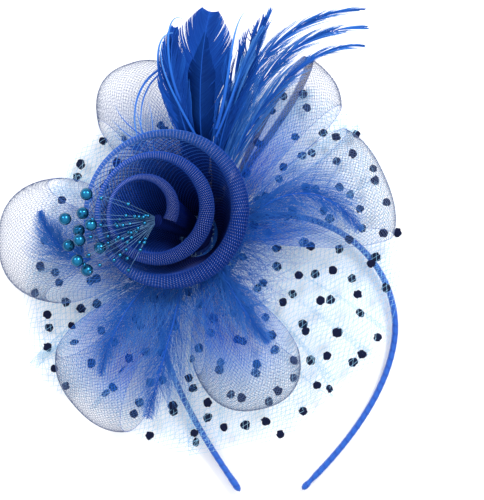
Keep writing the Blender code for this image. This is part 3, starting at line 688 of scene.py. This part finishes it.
# The same braid in double thickness: deep royal body, with small pinkish painted glints at each crossing of
# one family of threads, faint everywhere and strongest on the rim's crest.
body = ramp(tree, tone_of(tree), ((0.0, "#041258"), (0.4, "#1348b0"), (1.0, "#5a96e6")))
weave = node(tree, "UVMap", {"uv_map": "weave"})
glint_wave = node(tree, "TexWave", {"bands_direction": "X"},
             {"Vector": weave.outputs["UV"], "Scale": math.pi / 10.0})
painted_glint = node(tree, "MapRange", (), {0: glint_wave.outputs["Fac"], 1: 0.80, 2: 1.0, 3: 0.0, 4: 0.9})
# The UV's second value is the painted glint's strength: faint everywhere, strong on the rim's crest.
rim = node(tree, "SeparateXYZ", (), {0: weave.outputs["UV"]})
painted_glint = node(tree, "Math", {"operation": "MULTIPLY"}, {0: painted_glint.outputs[0], 1: rim.outputs["Y"]})
mixed = node(tree, "Mix", {"data_type": "RGBA"}, {0: painted_glint.outputs[0], 6: body, 7: linear("#a4b0e0")})
tree.links.new(mixed.outputs[2], shader.inputs["Base Color"])
rose_haze, tree, shader = finish_of("rosette_haze", 0.5, 0.06)
# Nearly navy and close in the heart, clear and blue at the outer wall: partly the layers behind each other,
# partly the rosette's painted shade and highlight carried in the tone.
tone = tone_of(tree)
coloured(tree, shader, tone, (0.0, "#000530"), (0.3, "#062068"), (1.0, "#1a5ac8"))
veiled = node(tree, "MapRange", (), {0: tone, 1: 0.0, 2: 1.0, 3: 0.95, 4: 0.08})
tree.links.new(veiled.outputs[0], shader.inputs["Alpha"])
ROSE_ROWS, ROSE_COLUMNS = 331, 31
# Slant of the family of threads, and its distance off the ribbon: the double ribbon has four families.
BRAID_LAYERS = ((1.0, 0.45), (-1.0, 0.25), (1.0, -0.25), (-1.0, -0.45))

u, v = np.meshgrid(np.linspace(0.0, 1.0, ROSE_ROWS), np.linspace(0.0, 1.0, ROSE_COLUMNS), indexing="ij")
sheet = rosette_point(u, v).reshape(-1, 3)
film = shaped("rosette_crinoline", sheet, grid_faces(ROSE_ROWS, ROSE_COLUMNS), rose_haze,
              np.stack([u, v], axis=-1).reshape(-1, 2), rosette_tone(u, v).ravel())
parts, glints, stout = [], [], BRAID_THREAD * MM / 2.0
for slant, lift in BRAID_LAYERS:
    u, side, keep = slanted_lines(ROSETTE_LENGTH, ROSETTE_WIDTH, slant * BRAID_SLANT, BRAID_GAP, BRAID_STEP)
    v = side / 2.0 + 0.5
    at = lifted(rosette_point, u, v, lift, 0.003)
    points, faces, used = strands(at, keep, stout, stout)
    # Painted light and shade: one family of threads is drawn lighter, as if glossy, the other darker.
    painted_light_share = 1.3 if slant > 0.0 else 0.4
    parts.append((points, faces, (painted_light_share * rosette_tone(u, v)).ravel()[used]))
    # How far along the crossing family of threads, counted in threads, and how strongly the painted glint
    # shows on the rim.
    lean = math.radians(-slant * BRAID_SLANT)
    crossed = side * ROSETTE_WIDTH / 2.0 * math.cos(lean) - u * ROSETTE_LENGTH * math.sin(lean)
    glint = (0.10 + rim_of(v)**3) * (1.0 if slant > 0.0 else 0.0)
    glints.append(np.stack([crossed / BRAID_GAP, glint], axis=-1).reshape(-1, 2)[used])
points, faces, shade = joined(parts)
braid = shaped("rosette_threads", points, faces, rose_thread, np.vstack(glints), shade)
for piece in (film, braid):
    worn(piece, "crinoline", "rosette")

# Feathers: a broad dyed coque feather, stripped goose blades and soft hackles, glued in under the rosette.
# A vane is a quill with hundreds of barbs that lie side by side; clumps of them part and leave ragged edges.
QUILL_RADIUS, QUILL_SIDES, BARB_FLATNESS = 0.55, 6, 0.35


def bezier(control, t):
    """A cubic curve through its four control points."""
    a, b, c, d = (np.array(p, dtype=float) for p in control)
    t = np.asarray(t)[..., None]
    s = 1.0 - t
    return s**3 * a + 3 * s * s * t * b + 3 * s * t * t * c + t**3 * d


def vane(control, half, cup, belly, tip, count, sweep, bend, steps, barb, ragged, seed, root, curl=0.0,
         clumps=7, least=0.14, fade=0.0):
    """Barbs from both sides of a quill, on a cupped surface: each runs forward to where it ends, as a power
    of its own length, and out to the outline there, as one minus a power. Clumps share length and sweep."""
    chance = np.random.default_rng(seed)
    fine = np.linspace(0.0, 1.0, 200)
    quill = bezier(control, fine)
    run = np.concatenate([[0.0], np.cumsum(np.linalg.norm(np.diff(quill, axis=0), axis=1))])
    ahead = unit(np.gradient(quill, axis=0))
    aside = unit(np.cross((0.0, 0.0, 1.0), ahead))
    over = np.cross(ahead, aside)
    at = np.tile(root + (0.985 - root) * np.linspace(0.0, 1.0, count) ** 0.95, 2)
    hand = np.repeat([-1.0, 1.0], count)
    clump = (np.arange(2 * count) // clumps * 131 + 17) % 997
    pull = np.random.default_rng(seed + 50).normal(0.0, 1.0, (1000, 3))[clump]
    loose = chance.normal(0.0, 1.0, (2, 2 * count))
    forward = sweep / run[-1] * (1.0 + ragged * (pull[:, 1] + 0.4 * loose[0])).clip(0.15, 2.0)
    forward = forward * (1.0 - at) ** fade
    end = 1.0 - (1.0 - at) * np.exp(-forward / (1.0 - at)) * (1.0 - 0.02 * pull[:, 1])
    closing = 1.0 - eased((end - belly) / (1.0 - belly)) * (1.0 - tip)
    grow = np.where(end < belly, eased(end / belly), closing)
    grow = np.maximum(grow, least * (1.0 - end)) * np.clip((1.02 - end) / 0.16, 0.0, 1.0) ** 0.5
    reach_out = half * grow * (1.0 + ragged * (pull[:, 0] + 0.4 * loose[1])).clip(0.1, 1.6)
    t = np.linspace(0.0, 1.0, steps)[None, :]
    b = hand[:, None] * reach_out[:, None] * (1.0 - (1.0 - t) ** bend)
    b = b + curl * reach_out[:, None] * np.sin(t * 3.0 + pull[:, 2:] * 2.0) * t
    a = run[-1] * (at[:, None] + (end - at)[:, None] * t**1.25)
    on_quill, outward, upward = (np.stack([np.interp(a, run, source[:, k]) for k in range(3)], axis=-1)
                                 for source in (quill, aside, over))
    past = np.maximum(a - run[-1], 0.0)[..., None]
    lift = cup * (b / half) ** 2 + 3.5 * ragged * pull[:, 2:] * t
    points = on_quill + ahead[-1] * past + outward * b[..., None] + upward * lift[..., None]
    taper = barb * MM * (1.0 - 0.75 * t**2) * np.ones_like(b)
    keep = np.ones((2 * count, steps - 1), bool)
    mesh, faces, used = strands(laid(points), keep, taper, taper * BARB_FLATNESS, 3, LAY[:, 2])
    worn_ends = (0.5 + 0.25 * pull[:, :1] + 0.3 * loose[1][:, None]).clip(0.0, 1.0)
    tone = (t * 0.5 + 0.5 * worn_ends).ravel()[used]
    shaft = quill[None, ::6]
    thick = QUILL_RADIUS * MM * (1.0 - 0.75 * np.linspace(0.0, 1.0, shaft.shape[1]))[None, :]
    keep = np.ones((1, shaft.shape[1] - 1), bool)
    stem, stem_faces, used = strands(laid(shaft), keep, thick, thick, QUILL_SIDES, LAY[:, 2])
    return joined([(mesh, faces, tone), (stem, stem_faces, np.zeros(len(stem)))])


def feather_finish(name, rough, *stops):
    """Dyed feather: a soft keratin sheen over colour that runs from the quill to the barbs' ends."""
    made, tree, shader = finish_of(name, rough, 0.12)
    coloured(tree, shader, tone_of(tree), *stops)
    return made


coque = feather_finish("dyed_coque", 0.45, (0.0, "#174fae"), (0.5, "#0b3b94"), (1.0, "#1f60c6"))
goose = feather_finish("dyed_goose_blade", 0.42, (0.0, "#184fb0"), (0.5, "#2a6ccb"), (1.0, "#5a98e4"))
down = feather_finish("dyed_hackle", 0.6, (0.0, "#1850b2"), (0.5, "#2666c2"), (1.0, "#5a92da"))


def feather(name, finish, parts, *nodes):
    """One feather piece from its vane's arrays."""
    points, faces, tone = parts
    worn(shaped(name, points, faces, finish, None, tone), "feather", *nodes)


FEATHER_SEAT = PETAL_SEAT + GAP
# Quills: four control points as shares of PETAL_REACH, above FEATHER_SEAT; then the half width's share.
CREST = (((0.030, 0.238, 0.0), (-0.005, 0.514, 0.095), (-0.029, 0.838, 0.362), (0.048, 1.150, 0.300)),
         0.138)
BIOTS = (
    (((0.064, 0.238, 0.0), (0.086, 0.590, 0.063), (0.267, 1.143, 0.349), (0.810, 1.152, 0.310)), 0.042),
    (((0.077, 0.238, 0.0), (0.143, 0.571, 0.063), (0.324, 1.086, 0.310), (0.829, 1.067, 0.253)), 0.044),
    (((0.090, 0.238, 0.0), (0.200, 0.552, 0.063), (0.438, 1.010, 0.272), (0.819, 0.981, 0.206)), 0.040),
    (((0.084, 0.238, 0.016), (0.152, 0.571, 0.139), (0.267, 0.952, 0.368), (0.343, 1.152, 0.358)), 0.052),
    (((0.070, 0.238, 0.016), (0.095, 0.571, 0.149), (0.200, 0.876, 0.406), (0.305, 1.057, 0.444)), 0.036),
)
HACKLES = (
    (((-0.552, -0.076, 0.103), (-0.629, -0.076, 0.141), (-0.743, -0.019, 0.17), (-0.8, 0.171, 0.16)), 0.095),
    (((-0.095, -0.19, 0.057), (-0.133, -0.419, 0.143), (-0.21, -0.629, 0.19), (-0.267, -0.876, 0.162)), 0.15),
    (((0.229, 0.120, 0.072), (0.419, 0.300, 0.158), (0.629, 0.320, 0.206), (0.800, 0.060, 0.196)), 0.125),
    (((0.095, -0.114, 0.056), (0.152, -0.229, 0.123), (0.229, -0.362, 0.190), (0.343, -0.495, 0.199)), 0.105),
    (((-0.19, -0.11, 0.053), (-0.33, -0.25, 0.138), (-0.45, -0.41, 0.203), (-0.5, -0.66, 0.178)), 0.125),
)


def quill_of(row):
    """A quill's control points in the flower's millimetres."""
    return np.array(row[0]) * PETAL_REACH + (0.0, 0.0, FEATHER_SEAT)


half = CREST[1] * PETAL_REACH
feather("crest_feather_vane", coque, vane(
    quill_of(CREST), half, cup=0.26 * half, belly=0.84, tip=0.84, count=340, sweep=34.0, bend=1.35,
    steps=10, barb=0.34, ragged=0.02, seed=21, root=0.06, clumps=26), "crest_feather")
# Two shorter feathers of the same bundle, a left one and a ragged right one, in front of the crest's edges.
CREST_SIDES = (
    (((1, 26, 16), (-6, 60, 26), (-20, 84, 50), (-13, 112, 46)), 7.5, 0.05),
    (((6, 28, 16), (10, 62, 30), (20, 88, 52), (33, 117, 48)), 6.5, 0.30),
)
for number, (quill, half, ragged) in enumerate(CREST_SIDES, start=1):
    feather(f"crest_side_{number}", coque, vane(
        quill, half, cup=1.5, belly=0.72, tip=0.6, count=170, sweep=30.0, bend=1.3, steps=10, barb=0.30,
        ragged=ragged, seed=60 + number, root=0.06, clumps=12), "crest_feather")
for number, row in enumerate(BIOTS, start=1):
    feather(f"biot_{number}_blade", goose, vane(
        quill_of(row), row[1] * PETAL_REACH, cup=0.5, belly=0.42, tip=0.35, count=110, sweep=44.0, bend=1.15,
        steps=11, barb=0.24, ragged=0.34, seed=30 + number, root=0.03, curl=0.15, clumps=4, fade=0.3),
        f"biot_{number}")
# Barbs that have come loose: four curve points each in the flower's millimetres, and the half width.
CURLS = (
    ((-10, 62, 30), (-22, 76, 42), (-27, 108, 50), (-14, 108, 48), 0.60),
    ((-9, 72, 36), (-18, 86, 46), (-20, 121, 52), (-9, 115, 48), 0.50),
    ((1, 50, 26), (-12, 74, 40), (-24, 92, 48), (-19, 104, 50), 0.45),
    ((8, 60, 34), (16, 84, 48), (14, 108, 54), (22, 118, 50), 0.6),
    ((8, 56, 32), (20, 82, 46), (22, 104, 52), (34, 112, 48), 0.45),
    ((-8, 94, 42), (-34, 92, 36), (-40, 66, 30), (-29, 46, 28), 0.45),
    ((-8, 92, 42), (-30, 91, 36), (-36, 68, 30), (-27, 45, 28), 0.35),
    ((-31, 57, 29), (-38, 62, 31), (-42, 66, 32), (-44, 72, 32), 0.22),
    ((-29, 52, 29), (-37, 56, 31), (-41, 59, 32), (-46, 65, 32), 0.22),
    ((-28, 48, 28), (-36, 50, 30), (-40, 53, 31), (-45, 57, 31), 0.22),
    ((-26, 46, 28), (-30, 56, 31), (-31, 64, 33), (-36, 76, 33), 0.22),
    ((-24, 45, 28), (-25, 56, 31), (-24, 64, 33), (-27, 74, 33), 0.22),
)
t = np.linspace(0.0, 1.0, 28)
curl = np.stack([bezier(row[:4], t) for row in CURLS])
stout = 1.5 * np.array([row[4] for row in CURLS])[:, None] * (1.0 - 0.85 * t**2) * MM
points, faces, used = strands(laid(curl), np.ones((len(CURLS), len(t) - 1), bool), stout, stout * 0.3, 6)
feather("loose_barbs", goose, (points, faces, np.tile(t, len(CURLS))[used]))
for number, row in enumerate(HACKLES, start=1):
    half = row[1] * PETAL_REACH
    feather(f"hackle_{number}_vane", down, vane(
        quill_of(row), 1.5 * half, cup=0.2 * half, belly=0.34, tip=0.22, count=320, sweep=3.6 * half,
        bend=1.2, steps=10, barb=0.087, ragged=0.42, seed=40 + number, root=0.0, curl=0.34, clumps=3,
        least=0.7, fade=0.7), f"hackle_{number}")
# Down round the rosette's foot: hairs in tufts, out along the petals and up, each a curve of four points.
FLUFF, FLUFF_STEPS, FLUFF_RADIUS, TUFT_SPREAD = 620, 12, 0.11, 9.0
TUFTS = (205, 232, 258, 285, 312, 340, 5, 28)
chance = np.random.default_rng(91)
way = np.radians(chance.choice(TUFTS, FLUFF) + chance.normal(0.0, TUFT_SPREAD, FLUFF))
way = np.stack([way, way + chance.normal(0.0, 0.12, FLUFF), way + chance.normal(0.0, 0.26, FLUFF),
                way + chance.normal(0.0, 0.42, FLUFF)], axis=1)
far = np.stack([np.full(FLUFF, 14.0), np.full(FLUFF, 26.0), chance.uniform(34.0, 50.0, FLUFF),
                chance.uniform(44.0, 66.0, FLUFF)], axis=1)
high = np.stack([np.full(FLUFF, 13.0), np.full(FLUFF, 17.0), chance.uniform(20.0, 30.0, FLUFF),
                 chance.uniform(17.0, 30.0, FLUFF)], axis=1)
foot = np.array([-0.15, 0.14]) * ROSETTE_RADIUS
control = np.stack([foot[0] + far * np.cos(way), foot[1] + far * np.sin(way), high], axis=-1)
t = np.linspace(0.0, 1.0, FLUFF_STEPS)[None, :]
hair = bezier(control.transpose(1, 0, 2)[:, :, None], t)
stout = FLUFF_RADIUS * MM * (1.0 - 0.7 * t**2)
points, faces, used = strands(laid(hair), np.ones((FLUFF, FLUFF_STEPS - 1), bool), stout, stout * 0.6)
shade = (0.3 * t + 0.4 * chance.uniform(0.0, 1.0, (FLUFF, 1))).ravel()[used]
feather("hackle_fluff", down, (points, faces, shade))

# Stamens: glass-like teal pearls and seed beads threaded on fine silvery wires, bound in the heart.
# The CAD pearls give each one's place; the wires and small beads are finer than the solids show.
pearl, tree, shader = finish_of("lacquered_pearl", 0.22, 0.5)
# Pearl lacquer over glass: a metallic lustre, with a painted shade that darkens from the top to nearly black
# at the sides and below.
body = ramp(tree, mottle(tree, 180.0, 2.0), ((0.3, "#0f5c8e"), (0.7, "#1c7cab")))
# Painted shade: the tone from balls is one at the top and nought from the middle down, mixing towards the
# near black.
mixed = node(tree, "Mix", {"data_type": "RGBA"}, {0: tone_of(tree), 6: linear("#04243f"), 7: body})
tree.links.new(mixed.outputs[2], shader.inputs["Base Color"])
shader.inputs["Metallic"].default_value = 0.8
wire_finish, tree, shader = finish_of("silvered_wire", 0.3, 0.5)
shader.inputs["Base Color"].default_value = linear("#5f8cba")
shader.inputs["Metallic"].default_value = 0.3


def balls(centres, radius, rows, columns):
    """Round beads: latitude and longitude grids about each centre, with both poles as a ring of their own.
    The tone is a painted shade: one at the top, falling to nought at the middle and below.
    """
    lat = np.linspace(0.0, np.pi, rows)[:, None]
    lon = 2.0 * np.pi * np.arange(columns) / columns
    unit = np.stack([np.sin(lat) * np.cos(lon), np.sin(lat) * np.sin(lon), np.cos(lat) * np.ones(columns)],
                    axis=-1)
    points = centres[:, None, None, :] + unit * radius
    cell = grid_faces(rows, columns, around=True)[:, ::-1]
    faces = (np.arange(len(centres))[:, None, None] * rows * columns + cell[None]).reshape(-1, 4)
    return points.reshape(-1, 3), faces, np.tile(unit[..., 2].clip(0.0, 1.0).ravel(), len(centres))


PEARL_RADIUS, BEAD_RADIUS, WIRE_RADIUS = 3.2, 1.15, 0.095
PEARLS = [f"pearl_{number:02d}" for number in range(1, 11)]
spots = np.array([np.mean(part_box(name), axis=0) for name in PEARLS])
points, faces, shade = balls(spots, PEARL_RADIUS * MM, 21, 32)
worn(shaped("pearls", points, faces, pearl, None, shade), "pearl", *PEARLS)

BIND_RADIUS, WIRE_BOW, WIRE_STEPS, MORE_WIRES = 3.4, 4.0, 14, 18
STEM_TOP = np.array([-0.500 * ROSETTE_RADIUS, 0.278 * ROSETTE_RADIUS, ROSETTE_SEAT + 1.235 * ROSETTE_LIFT])
chance = np.random.default_rng(77)
ends_at = (spots - FLOWER_AT) @ LAY / MM
fan = np.radians(chance.uniform(150.0, 200.0, MORE_WIRES))
far = ROSETTE_RADIUS * chance.uniform(0.72, 1.42, MORE_WIRES)
high = ROSETTE_SEAT + ROSETTE_LIFT * chance.uniform(1.5, 2.0, MORE_WIRES)
ends_at = np.vstack([ends_at, np.stack([far * np.cos(fan), far * np.sin(fan), high], axis=1)])
order = np.argsort(np.argsort(-ends_at[:, 1])) / (len(ends_at) - 1.0) - 0.5
roots = STEM_TOP + (-1.2, 0.0, 2.3) - 1.2 * BIND_RADIUS * order[:, None] * (0.0, 1.0, 0.0)
t = np.linspace(0.0, 1.0, WIRE_STEPS)[None, :, None]
wires = roots[:, None] + (ends_at - roots)[:, None] * t
wires[..., 2] += (WIRE_BOW * 4.0 * t * (1.0 - t))[..., 0]
wires[..., 1] += (chance.normal(0.0, 1.3, (len(order), 1)) * np.sin(np.pi * t[..., 0]))
keep, stout = np.ones((len(order), WIRE_STEPS - 1), bool), WIRE_RADIUS * MM
points, faces, _ = strands(laid(wires), keep, stout, stout, 5)
worn(shaped("stamen_wires", points, faces, wire_finish), "wire",
     *[f"stamen_wire_{number:02d}" for number in range(1, 11)])
# A bead at the end of each wire without a pearl, and eight at each of four shares of the way.
beads = [wires[10:, -1]]
for share in (5, 7, 9, 11):
    beads.append(wires[chance.permutation(len(order))[:8], share])
points, faces, shade = balls(laid(np.vstack(beads)), BEAD_RADIUS * MM, 9, 12)
worn(shaped("seed_beads", points, faces, pearl, None, shade), "pearl")

binding, tree, shader = finish_of("wound_floral_tape", 0.7, 0.08)
# Waxed crepe tape wound over the wires' feet, dull and dark.
place = node(tree, "TexCoord")
wound = node(tree, "TexWave", {"bands_direction": "Z"},
             {"Vector": place.outputs["Object"], "Scale": 300.0})
coloured(tree, shader, wound.outputs["Fac"], (0.0, "#020d44"), (1.0, "#082068"))
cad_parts["stamen_bind"].material_slots[0].material = binding
